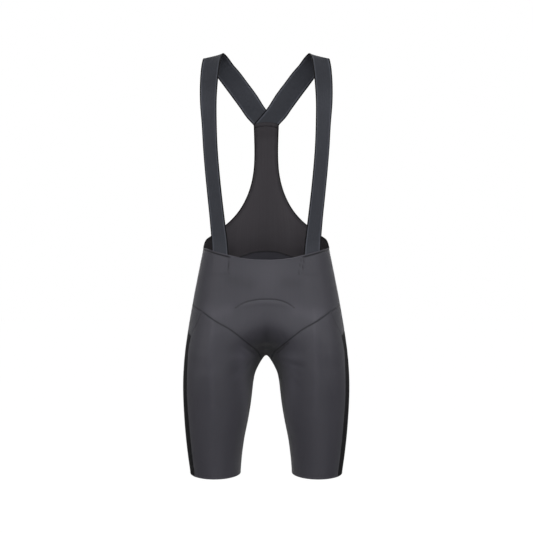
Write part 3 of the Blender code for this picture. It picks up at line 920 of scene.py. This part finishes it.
# Makes a shell of cloth from a grid of points in mm, whose columns run from left to right as seen
# from outside. Seams and hems are the lines along which it is sewn and ends free, joined names the
# edges that meet a neighbour, and a seam is bonded along the faint lines. Without normals the piece
# lies on the form.
def clothShell(
    name, grid, material, seams=(), hems=(), joined=(), extraRise=None,
    thickness=sewing["clothThickness"], normals=None, faint=(),
):
    points = grid.reshape(-1, 3)
    onForm = normals is None
    facing = outward(points) if onForm else normals.reshape(-1, 3)
    rise = np.zeros(len(points))
    lineShade = paintedLineShade(points) if onForm else np.zeros(len(points))
    if seams:
        fromSeam = distanceTo(seams, points)
        shown = 1.0
        if faint:
            shown -= sewing["faintLoss"] * fade(distanceTo(faint, points), sewing["faintWidth"])
        rise -= shown * sewing["grooveDepth"] * fade(fromSeam, sewing["grooveWidth"])
        # painted shade along each seam's groove, less where the seam is bonded
        lineShade += (1 - lineShade) * shown * fade(fromSeam, sewing["shadeWidth"])
    edgeDistance = np.full(len(points), sewing["noEdge"])
    if hems:
        edgeDistance = distanceTo(hems, points)
        rise += sewing["hemRise"] * fade(edgeDistance - sewing["hemWidth"], sewing["hemWidth"])
    if onForm:
        rise += creaseRise(points)
    if extraRise:
        # extraRise gives more rise and more painted shade
        moreRise, moreShade = extraRise(points, edgeDistance)
        rise += moreRise
        lineShade += (1 - lineShade) * moreShade
    widened = grid.copy()
    edges = {
        "top": (widened[0], grid[1]), "bottom": (widened[-1], grid[-2]),
        "left": (widened[:, 0], grid[:, 1]), "right": (widened[:, -1], grid[:, -2]),
    }
    for side in joined:
        edge, inside = edges[side]
        edge -= sewing["overlap"] * unit(inside - edge)
    points = widened.reshape(-1, 3) + facing * rise[:, None]
    faces = quads(*grid.shape[:2])
    values = {"edgeDistance": edgeDistance * mm, "lineShade": lineShade}
    made = makePiece(name, points, faces, flatMap(grid), values, material)
    wall = made.modifiers.new("wall", "SOLIDIFY")
    wall.thickness = thickness * mm
    wall.offset = -1
    roundRim(made, sewing["rimRound"])
    surfaces[name] = BVHTree.FromPolygons(points.tolist(), faces.tolist())
    innerPoints = points - facing * thickness
    surfaces[name + "Inside"] = BVHTree.FromPolygons(innerPoints.tolist(), faces[:, ::-1].tolist())
    return made


frontPiece = {
    "waist": [(0, -428.5), (24, -427.7), (44, -425.5), (76, -418.5), (104, -411), (122, -405.5)],
    # extra rows under the waist edge and about the pad's pressed edge, and extra columns where the
    # straps' edges press through
    "waistRows": (0.03, 0.06, 0.1, 0.13, 0.15, 0.165, 0.18, 0.195, 0.21, 0.23, 0.26, 0.3),
    "pressColumns": np.arange(5.2, 6.9, 0.075),
    "arcRows": np.arange(5.32, 7.25, 0.06),
    "bandDistance": 4.2,     # of the pressed line under the waist edge
    "bandDepth": 0.9,
    "bandWidth": 1.5,
    # painted shade in that pressed line
    "bandShade": 1.25,
    "bandSide": (70, 78),    # it shows from the straps' inner edges outwards
    "strapPress": 0.5,       # the straps' ends lift the front this much
    "strapEnd": (-461, -455),
    # from its inner edge, where the lift starts and is full, and from its outer, where it falls and ends
    "strapEdges": (-1.5, 3, -3, 4),
}

strapPiece = {
    "front": np.array([
        # z, inner x, outer x
        (-458, 76.0, 114.0), (-430, 77.0, 113.0), (-403, 78.5, 113.5), (-350, 85.2, 117.3),
        (-300, 91.2, 122.4), (-250, 96.4, 127.4), (-200, 100.4, 131.6), (-150, 102.4, 134.8),
    ]),
    "shoulder": np.array([
        # inner x, y, z,         outer x, y, z
        (101.8, -69.0, -100.0, 137.0, -41.0, -102.0),
        (100.2, -57.0, -66.0, 137.8, -33.0, -72.0),
        (97.8, -42.0, -36.0, 137.3, -23.0, -46.0),
        (94.5, -22.0, -7.0, 135.0, -12.0, -19.0),
        (91.0, 0.0, 6.0, 132.0, 1.0, -5.0),
        (86.5, 22.0, 7.0, 126.0, 18.0, -8.5),
        (79.0, 45.0, 1.5, 116.0, 38.0, -23.0),
        (70.0, 62.0, -9.0, 104.0, 54.0, -38.0),
        (59.0, 75.0, -20.0, 93.0, 68.0, -51.5),
        (40.0, 92.0, -43.0, 74.5, 86.0, -74.5),
        (20.5, 103.0, -68.0, 56.0, 100.5, -98.5),
        (3.5, 108.0, -94.0, 43.0, 107.5, -116.5),
        (-27.0, 109.5, -130.5, 30.0, 109.5, -130.5),
    ]),
    # z and outer x of the end that the stem's turned band holds
    "end": [(-132.4, 28.4), (-134.5, 27.2), (-137.5, 26.8), (-141, 26.6)],
    "depth": 2.0,
    "lift": 2.6,
    "liftGrowth": np.array([0.0, 0.5, 1.0, 1.0, 1.0]),
    "stemArch": 5.0,
    "archFrom": 0.9,        # share of the length past which the end arches with the stem's top
    "rows": 230,
    "columns": 36,
    "edgeColumns": (0.008, 0.018, 0.982, 0.992),
    "thickness": 1.3,
    "ribs": 9,
    "ribRise": 0.09,
    "crestShade": 0.6,      # painted shade over the shoulder's crest
    "crestHeights": (-118, -50),
    "crestDepths": (-8, 26),
}


# What the strap ends and the waist edge press into the front, and the painted shade in the pressed line
# under the waist edge.
def frontRise(points, edgeDistance):
    x, y, z = points.T
    heights, inner, outer = strapPiece["front"].T
    starts, full, fall, ends = frontPiece["strapEdges"]
    innerX = smoothValue(heights, inner, z)
    outerX = smoothValue(heights, outer, z)
    over = window(np.abs(x), innerX + starts, innerX + full, outerX + fall, outerX + ends)
    over *= smoothStep(z, *frontPiece["strapEnd"]) * (y < 0)
    band = smoothStep(np.abs(x), *frontPiece["bandSide"])
    band = band * fade(edgeDistance - frontPiece["bandDistance"], frontPiece["bandWidth"])
    rise = frontPiece["strapPress"] * over - frontPiece["bandDepth"] * band
    return rise, frontPiece["bandShade"] * band


def makeFront():
    topLine = join(layTable(frontPiece["waist"], -1), sidePoint(seamLayout["sideWaist"]))
    across = withFiner(stationsFor(seamLayout["halfColumns"], startRows=()), frontPiece["pressColumns"])
    sides = ("sideUpper", "sideLower")
    grid = trunkGrid("front", -1, topLine, sides, across, frontPiece["waistRows"], frontPiece["arcRows"])
    return clothShell(
        "front", grid, "bodyCloth", [grid[:, 0], grid[-1], grid[:, -1]], [grid[0]],
        ("left", "right", "bottom"), extraRise=frontRise,
    )


def makeSeat():
    across = stationsFor(seamLayout["halfColumns"], startRows=())
    grid = trunkGrid("back", 1, guides["yoke"][0], ("sideLower",), across)[:, ::-1]
    return clothShell(
        "seat", grid, "bodyCloth", [grid[0], grid[:, 0], grid[-1], grid[:, -1]], (),
        ("top", "left", "right", "bottom"),
    )


bibPiece = {
    "armhole": [
        (28, -131.5), (26, -185), (26.3, -211), (28.4, -238), (33.5, -264), (42.4, -290.5),
        (56.3, -317), (78.5, -344), (100, -362), (117.5, -376.5), (127.5, -385.5),
    ],
    "centerPoints": 16,
    "rowLead": 0.75,
    "thickness": 0.8,
    # The top is turned down and lies inside the straps' ends.
    "turnRows": (0.03, 0.06, 0.12, 0.25, 0.38, 0.43, 0.47, 0.5, 0.53, 0.57, 0.62, 0.75),
    "turnHeight": 8.0,
    "turnRise": 0.6,
    "turnBlend": 0.5,
    "tuck": 4.4,
    "tuckLimits": (11.0, 40.0),
    # painted shade along the turned top's fold and along its top edge
    "turnShadeWidth": 1.2,
    "topShade": 0.7,
    "topShadeWidth": 0.9,
    "sideShade": 0.6,       # painted shade towards the side seams
    "sideShadeFrom": (94, 112),
}


def makeBib():
    stemX, stemZ = bibPiece["armhole"][0]
    armhole = join(layTable(bibPiece["armhole"], 1), sidePoint(seamLayout["sideWaist"]))
    seamRun = [(armhole, seamLayout["armholeFaces"]), guides["sideUpper"]]
    rows = facesAlong(seamRun)
    down = stationsFor(rows, startRows=bibPiece["turnRows"])
    across = stationsFor(seamLayout["halfColumns"], startRows=())
    share = across / seamLayout["halfColumns"]
    topZ = stemZ + strapPiece["stemArch"] * (1 - share**2)
    top = lay(share * stemX, topZ, 1)
    bottom = alongSeams([guides["yoke"]], across)
    right = alongSeams(seamRun, down)
    centerZ = np.linspace(topZ[0], seamLayout["yoke"][0][1], bibPiece["centerPoints"])
    centerLine = lay(0.0, centerZ, 1)
    grid = fromRightHalf(top, bottom, centerLine, right, across, down / rows, bibPiece["rowLead"])
    grid = grid[:, ::-1]
    free = int(np.searchsorted(down, seamLayout["armholeFaces"]))  # the last row beside the armholes

    # The turned top's rise, and painted shade along its fold, its top edge and towards the side seams.
    def tuckRise(points, edgeDistance):
        fromTop = distanceTo([grid[0]], points)
        turn = bibPiece["turnHeight"]
        blend = bibPiece["turnBlend"]
        tuck = bibPiece["tuck"] * (1 - smoothStep(fromTop, *bibPiece["tuckLimits"]))
        turned = 1 - smoothStep(fromTop, turn - blend, turn + blend)
        sideShade = smoothStep(np.abs(points[:, 0]), *bibPiece["sideShadeFrom"])
        return -tuck - bibPiece["turnRise"] * turned, np.maximum.reduce([
            fade(fromTop - turn, bibPiece["turnShadeWidth"]),
            bibPiece["topShade"] * fade(fromTop, bibPiece["topShadeWidth"]),
            bibPiece["sideShade"] * sideShade,
        ])

    seams = [grid[-1], grid[free:, 0], grid[free:, -1]]
    hems = [grid[:free + 1, 0], grid[:free + 1, -1]]
    return clothShell(
        "backBib", grid, "bibMesh", seams, hems, ("bottom", "left", "right"),
        extraRise=tuckRise, thickness=bibPiece["thickness"],
    )


# A strap from its front end under the waist edge to the stem, and the way each point faces.
def strapGrid(side):
    z, innerX, outerX = strapPiece["front"].T
    shoulder = strapPiece["shoulder"].copy()
    if side > 0:
        growth = strapPiece["liftGrowth"]
        shoulder[-len(growth):, (1, 4)] -= growth[:, None] * strapPiece["lift"]
    down = np.linspace(0, 1, strapPiece["rows"] + 1)
    edges = []
    for x, over in ((innerX, shoulder[:, :3]), (outerX, shoulder[:, 3:])):
        start = settle(lay(x, z, -1), strapPiece["depth"])
        edges.append(smoothCurve(join(start, over), down)[:, None])
    inner, outer = edges
    for z, x in strapPiece["end"]:
        inner = join(inner, inner[-1:] * (1, 1, 0) + (0, 0, z))
        outer = join(outer, outer[-1:] * (0, 1, 0) + (x, 0, z))
    even = np.linspace(0, 1, strapPiece["columns"] + 1)
    share = np.union1d(even, strapPiece["edgeColumns"])[None, :, None]
    grid = (1 - share) * outer + share * inner
    nearEnd = np.clip((down - strapPiece["archFrom"]) / (1 - strapPiece["archFrom"]), 0, 1)
    nearEnd = np.append(nearEnd, np.ones(len(strapPiece["end"])))[:, None]
    grid[..., 2] += nearEnd * strapPiece["stemArch"] * 4 * (share * (1 - share))[..., 0]
    grid = mirrored(grid, side)
    return grid, unit(np.cross(np.gradient(grid, axis=0), np.gradient(grid, axis=1)))


def makeStrap(word, side):
    grid, facing = strapGrid(side)
    share = sharesAlong(grid[0])

    def ribs(points, edgeDistance):
        wave = strapPiece["ribRise"] * np.cos(2 * np.pi * strapPiece["ribs"] * share)
        crest = smoothStep(points[:, 2], *strapPiece["crestHeights"])
        crest *= 1 - smoothStep(points[:, 1], *strapPiece["crestDepths"])
        return np.tile(wave, len(points) // len(share)), strapPiece["crestShade"] * crest

    return clothShell(
        "strap" + word, grid, "elastic", (), [grid[:, 0], grid[:, -1]], (),
        extraRise=ribs, thickness=strapPiece["thickness"], normals=facing,
    )


pieces = {}
pieces["front"] = makeFront()
pieces["seat"] = makeSeat()
pieces["backBib"] = makeBib()
print("front, seat and back bib made")
legGrid, hipGrid, sideGrid = legGrids()
bondedEdges = {"leg": legGrid[:len(hipGrid), -1], "hip": hipGrid[:, 0]}
panels = {"leg": (legGrid, "bodyCloth"), "hip": (hipGrid, "bodyCloth"), "side": (sideGrid, "sideCloth")}
halves = {"Left": -1, "Right": 1}
for word, side in halves.items():
    for name, (half, cloth) in panels.items():
        grid = mirrored(half, side)
        seams, hems, joined = [grid[0], grid[:, 0], grid[:, -1]], [grid[-1]], ["top", "left", "right"]
        if name == "hip":
            seams += hems
            hems = ()
            joined.append("bottom")
        faint = [bondedEdges[name] * (side, 1, 1)] if name in bondedEdges else ()
        pieces[name + word] = clothShell(name + word, grid, cloth, seams, hems, joined, faint=faint)
    pieces["strap" + word] = makeStrap(word, side)
print("legs, sides and straps made")


padPiece = {
    "edge": np.array([
        (64, -95, -524), (60, -95, -552), (44, -85, -590), (28, -50, -632), (24, 3, -655),
        (34, 55, -634), (62, 95, -596), (86, 100, -560), (84, 105, -532),
    ], float),
    "frontTop": -510.0,
    "backTop": -516.0,
    "depth": 2.7,
    "halfColumns": 40,
    "rows": 190,
    "frontX": 34.0,
    "backX": 44.0,
    "cornerDrop": 4.0,
    "rimRound": 0.4,
    "flange": 1.4,          # the cover's bonded edge
    "foam": 3.4,            # more where the foam is full
    "seatFoam": 1.6,        # more again under the sit bones
    "channelDepth": 2.2,
    # shares of the half width and of the length
    "fullSide": (0.72, 0.9),
    "fullLength": (0.03, 0.12, 0.9, 0.98),
    "seatPlace": (0.48, 0.7),
    "seatSize": (0.26, 0.14),
    "channelWidth": 0.035,
    "middleWidth": 0.077,
    "middleLength": (0.16, 0.24, 0.8, 0.88),
    "outerPlace": (0.42, 0.1),
    "outerLength": (0.1, 0.2, 0.82, 0.9),
    "crossPlaces": (0.3, 0.52, 0.76),
    "crossSlant": 0.04,
    "crossWidth": 0.008,
    "crossSide": (0.6, 0.75),
}


# Half of the seat pad's outer face, under the crotch from the belly to the seat.
def padGrid():
    down = np.linspace(0, 1, padPiece["rows"] + 1)
    right = smoothCurve(settle(padPiece["edge"]), down)
    front = lay(0.0, centerHeights(padPiece["frontTop"]), -1)
    back = lay(0.0, centerHeights(padPiece["backTop"]), 1)
    left = smoothCurve(join(front, back[-2::-1]), down)
    across = np.linspace(0, 1, padPiece["halfColumns"] + 1)
    frontMiddle = lay(padPiece["frontX"], padPiece["frontTop"] - padPiece["cornerDrop"], -1)
    backMiddle = lay(padPiece["backX"], padPiece["backTop"] - padPiece["cornerDrop"], 1)
    top = smoothCurve([left[0], frontMiddle, right[0]], across)
    bottom = smoothCurve([left[-1], backMiddle, right[-1]], across)
    return patch(top, bottom, left, right, across, down, depth=padPiece["depth"])


def padThickness(side, along):
    full = (1 - smoothStep(side, *padPiece["fullSide"])) * window(along, *padPiece["fullLength"])
    (seatX, seatAlong), (seatWidth, seatLength) = padPiece["seatPlace"], padPiece["seatSize"]
    seat = fade(side - seatX, seatWidth) * fade(along - seatAlong, seatLength)
    width = padPiece["channelWidth"]
    channels = fade(side, padPiece["middleWidth"]) * window(along, *padPiece["middleLength"])
    curveX, swing = padPiece["outerPlace"]
    curve = curveX + swing * np.cos(2 * np.pi * along)
    channels += fade(side - curve, width) * window(along, *padPiece["outerLength"])
    for place in padPiece["crossPlaces"]:
        cross = fade(along - place - padPiece["crossSlant"] * side, padPiece["crossWidth"])
        channels += cross * (1 - smoothStep(side, *padPiece["crossSide"]))
    thickness = padPiece["flange"] + padPiece["foam"] * full + padPiece["seatFoam"] * seat
    return thickness - padPiece["channelDepth"] * np.clip(channels, 0, 1) * full


def makePad():
    outer = bothHalves(padGrid())
    rows, columns = outer.shape[:2]
    side = np.abs(np.linspace(-1, 1, columns))[None, :]
    along = np.linspace(0, 1, rows)[:, None]
    inner = outer - outward(outer) * padThickness(side, along)[..., None]
    count = rows * columns
    sheet = quads(rows, columns)
    border = join(
        np.arange(columns), np.arange(2, rows + 1) * columns - 1,
        np.arange(count - 2, count - columns - 1, -1), np.arange(rows - 2, 0, -1) * columns,
    )
    after = np.roll(border, -1)
    wall = np.stack([border, after, after + count, border + count], axis=-1)
    faces = join(sheet, sheet[:, ::-1] + count, wall)
    outer = outer.reshape(-1, 3)
    points = join(outer, inner.reshape(-1, 3))
    fromEdge = np.tile(distanceTo([outer[np.append(border, border[0])]], outer), 2)
    values = {"edgeDistance": fromEdge * mm, "lineShade": np.zeros(len(points))}
    clothMap = np.tile(flatMap(outer.reshape(rows, columns, 3)), (2, 1))
    made = makePiece("seatPad", points, faces, clothMap, values, "padFoam")
    roundRim(made, padPiece["rimRound"])
    return made


pieces["seatPad"] = makePad()
print("seat pad made")


# One stitch after another along a polyline, each a short arched length of thread.
def makeStitchTree():
    group, given, result = newGroup(
        "stitchRow", "GeometryNodeTree",
        {
            "Rows": "Geometry", "Pitch": 0.0026, "Length": 0.0019, "Thread": 0.0003, "Rise": 0.0002,
            "Material": "Material",
        },
        "Stitches", "Geometry",
    )
    geometry = lambda kind, inputs, settings=(): addNode(group, "GeometryNode" + kind, settings, inputs)
    curve = geometry("MeshToCurve", {0: given["Rows"]})
    spaced = geometry("ResampleCurve", {"Curve": curve, "Length": given["Pitch"]}, {"mode": "LENGTH"})
    facing = geometry("InputNamedAttribute", {"Name": "facing"}, {"data_type": "FLOAT_VECTOR"})
    tangent = geometry("InputTangent", {})
    axes = {"primary_axis": "X", "secondary_axis": "Z"}
    turn = addNode(group, "FunctionNodeAxesToRotation", axes, {0: tangent, 1: facing})
    half = mathNode(group, "MULTIPLY", given["Length"], 0.5)
    sunk = mathNode(group, "MULTIPLY", given["Rise"], -1.0)
    high = mathNode(group, "MULTIPLY", given["Rise"], 2.0)
    ends = {
        "Start": {"X": mathNode(group, "MULTIPLY", half, -1.0), "Z": sunk},
        "Middle": {"Z": high},
        "End": {"X": half, "Z": sunk},
    }
    places = {name: shaderNode(group, "CombineXYZ", inputs=at) for name, at in ends.items()}
    arch = geometry("CurveQuadraticBezier", {"Resolution": 4, **places})
    radius = mathNode(group, "MULTIPLY", given["Thread"], 0.5)
    ring = geometry("CurvePrimitiveCircle", {"Resolution": 5, "Radius": radius})
    stitch = geometry("CurveToMesh", {"Curve": arch, "Profile Curve": ring, "Fill Caps": True})
    laid = geometry("InstanceOnPoints", {"Points": spaced, "Instance": stitch, "Rotation": turn})
    real = geometry("RealizeInstances", {0: laid})
    painted = geometry("SetMaterial", {"Geometry": real, "Material": given["Material"]})
    setInputs(group, result, {"Stitches": painted})
    return group


stitchTree = makeStitchTree()


# The line moved sideways over the form, to the side that the sign gives.
def besideLine(line, distance):
    along = np.gradient(line, axis=0)
    return settle(line + distance * unit(np.cross(outward(line), along)))


# Points of a line on the nearest of the named faces, with the way each face looks there.
def laidOn(names, line):
    places, facing = [], []
    for point in line:
        found = [surfaces[name].find_nearest(Vector(point)) for name in names]
        place, normal, _, _ = min(found, key=lambda hit: hit[3])
        places.append(place)
        facing.append(normal)
    return np.array(places), np.array(facing)


def makeStitches(name, rows, sizes):
    points, facing, edges = [], [], []
    count = 0
    for faces, line in rows:
        places, looks = laidOn(faces, line)
        points.append(places * mm)
        facing.append(looks)
        edges += [(count + n, count + n + 1) for n in range(len(line) - 1)]
        count += len(line)
    mesh = bpy.data.meshes.new(name + "Rows")
    mesh.from_pydata(join(*points).tolist(), edges, [])
    attribute = mesh.attributes.new("facing", "FLOAT_VECTOR", "POINT")
    attribute.data.foreach_set("vector", join(*facing).astype(np.float32).ravel())
    guide = newObject(name + "Rows", mesh)
    modifier = guide.modifiers.new("stitches", "NODES")
    modifier.node_group = stitchTree
    values = {**sizes, "Material": materials["sewingThread"]}
    for item in stitchTree.interface.items_tree:
        if item.in_out == "INPUT" and item.name in values:
            modifier[item.identifier] = values[item.name]
    evaluated = guide.evaluated_get(bpy.context.evaluated_depsgraph_get())
    stitched = bpy.data.meshes.new_from_object(evaluated)
    stitched.name = name
    stitched.shade_smooth()
    bpy.data.objects.remove(guide)
    return newObject(name, stitched)


def evenLine(line, spacing=2.0):
    count = max(int(lengthsAlong(line)[-1] / spacing), 4)
    return smoothCurve(line, np.linspace(0, 1, count + 1))


stitching = {
    "besideSeam": 2.1,
    # distance below the stem's top edge, and reach to each side
    "stemLines": ((1.6, 26.2), (6.6, 25.4)),
    "stemPoints": 41,
    "clear": 6,  # moved off the stem this far, a line finds the face it is for
    "padPart": (0.02, 0.98),
    # x, z and width
    "tacks": ((-77.5, -457.5, 7), (67.5, -457.8, 7), (-61, -524, 5), (56.5, -525.5, 5)),
    "tackPoints": 6,
    "sizes": {
        "seamStitches": {"Pitch": 0.0026, "Length": 0.002, "Thread": 0.00032, "Rise": 0.00012},
        "stemStitches": {"Pitch": 0.0022, "Length": 0.0017, "Thread": 0.00045, "Rise": 0.0002},
        "padStitches": {"Pitch": 0.003, "Length": 0.0019, "Thread": 0.0003, "Rise": 0.0001},
        "barTacks": {"Pitch": 0.0006, "Length": 0.0022, "Thread": 0.0004, "Rise": 0.00015},
    },
}


def seamRows():
    run = {name: evenLine(settle(evenLine(line, 1.0))) for name, (line, _) in guides.items()}
    panelEdges = [evenLine(grid[:, column]) for grid in (hipGrid, sideGrid) for column in (0, -1)]
    rows = []
    pairs = [
        ("sideUpper", ("front", "backBib")), ("sideLower", ("front", "seat")),
        ("frontCorner", ("front", "hip")), ("backCorner", ("seat", "hip")),
        ("frontLeg", ("front", "leg")), ("backLeg", ("seat", "leg")),
        ("frontCrotch", ("front", "leg")), ("backCrotch", ("seat", "leg")),
        ("yoke", ("backBib", "seat")), ("tip", ("front", "seat")),
    ]
    lines = [(run[name], faces) for name, faces in pairs]
    lines += [(edge, ("leg", "hip", "side")) for edge in panelEdges]
    lines.append((evenLine(hipGrid[-1]), ("hip", "side")))
    for line, faces in lines:
        for offset in (-stitching["besideSeam"], stitching["besideSeam"]):
            beside = besideLine(line, offset)
            for word in ("Right", "Left"):
                named = [face + word if face in panels else face for face in faces]
                rows.append((named, beside * (halves[word], 1, 1)))
    return rows


def stemRows():
    share = np.linspace(-1, 1, stitching["stemPoints"])
    away = (0, stitching["clear"], 0)
    rows = []
    for below, reach in stitching["stemLines"]:
        z = bibPiece["armhole"][0][1] - below + strapPiece["stemArch"] * (1 - share**2)
        line = lay(reach * share, z, 1)
        rows.append((["backBibInside"], line - away))
        rows.append((["strapLeft", "strapRight"], line + away))
    return rows


def padRows():
    arc = smoothCurve(layTable(padFront, -1), np.linspace(*stitching["padPart"], fineness["creasePoints"]))
    return [(["front"], evenLine(settle(arc)))]


def tackRows():
    share = np.linspace(-0.5, 0.5, stitching["tackPoints"])
    return [(["front"], lay(x + width * share, z, -1)) for x, z, width in stitching["tacks"]]


rowMakers = {
    "seamStitches": seamRows, "stemStitches": stemRows, "padStitches": padRows, "barTacks": tackRows,
}
stitches = {}
for name, makeRows in rowMakers.items():
    stitches[name] = makeStitches(name, makeRows(), stitching["sizes"][name])
print("stitches made")


cutSizes = {
    # piece: node, slot, width and length of the cut, its area in square metres, stitches on it
    "front": ("front_panel", "body_cloth", 0.41, 0.24, 0.056, ("padStitches", "barTacks")),
    "seat": ("seat_panel", "body_cloth", 0.405, 0.235, 0.05),
    "backBib": ("back_bib", "bib_mesh", 0.385, 0.33, 0.04, ("stemStitches",)),
}
pairSizes = {
    "leg": ("leg_panel", "body_cloth", 0.43, 0.34, 0.1),
    "hip": ("hip_panel", "body_cloth", 0.155, 0.07, 0.008),
    "side": ("side_panel", "side_cloth", 0.12, 0.285, 0.028),
    "strap": ("strap", "elastic", 0.04, 0.68, 0.027),
}
for name, (node, *sizes) in pairSizes.items():
    for word in halves:
        cutSizes[name + word] = (node + "_" + word.lower(), *sizes)
for name, (node, slot, width, length, area, *sewnOn) in cutSizes.items():
    piece = pieces[name]
    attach(piece, "root")
    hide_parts(node)
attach(pieces["seatPad"], "root")
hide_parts("chamois_pad")
for name, piece in stitches.items():
    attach(piece, "root")
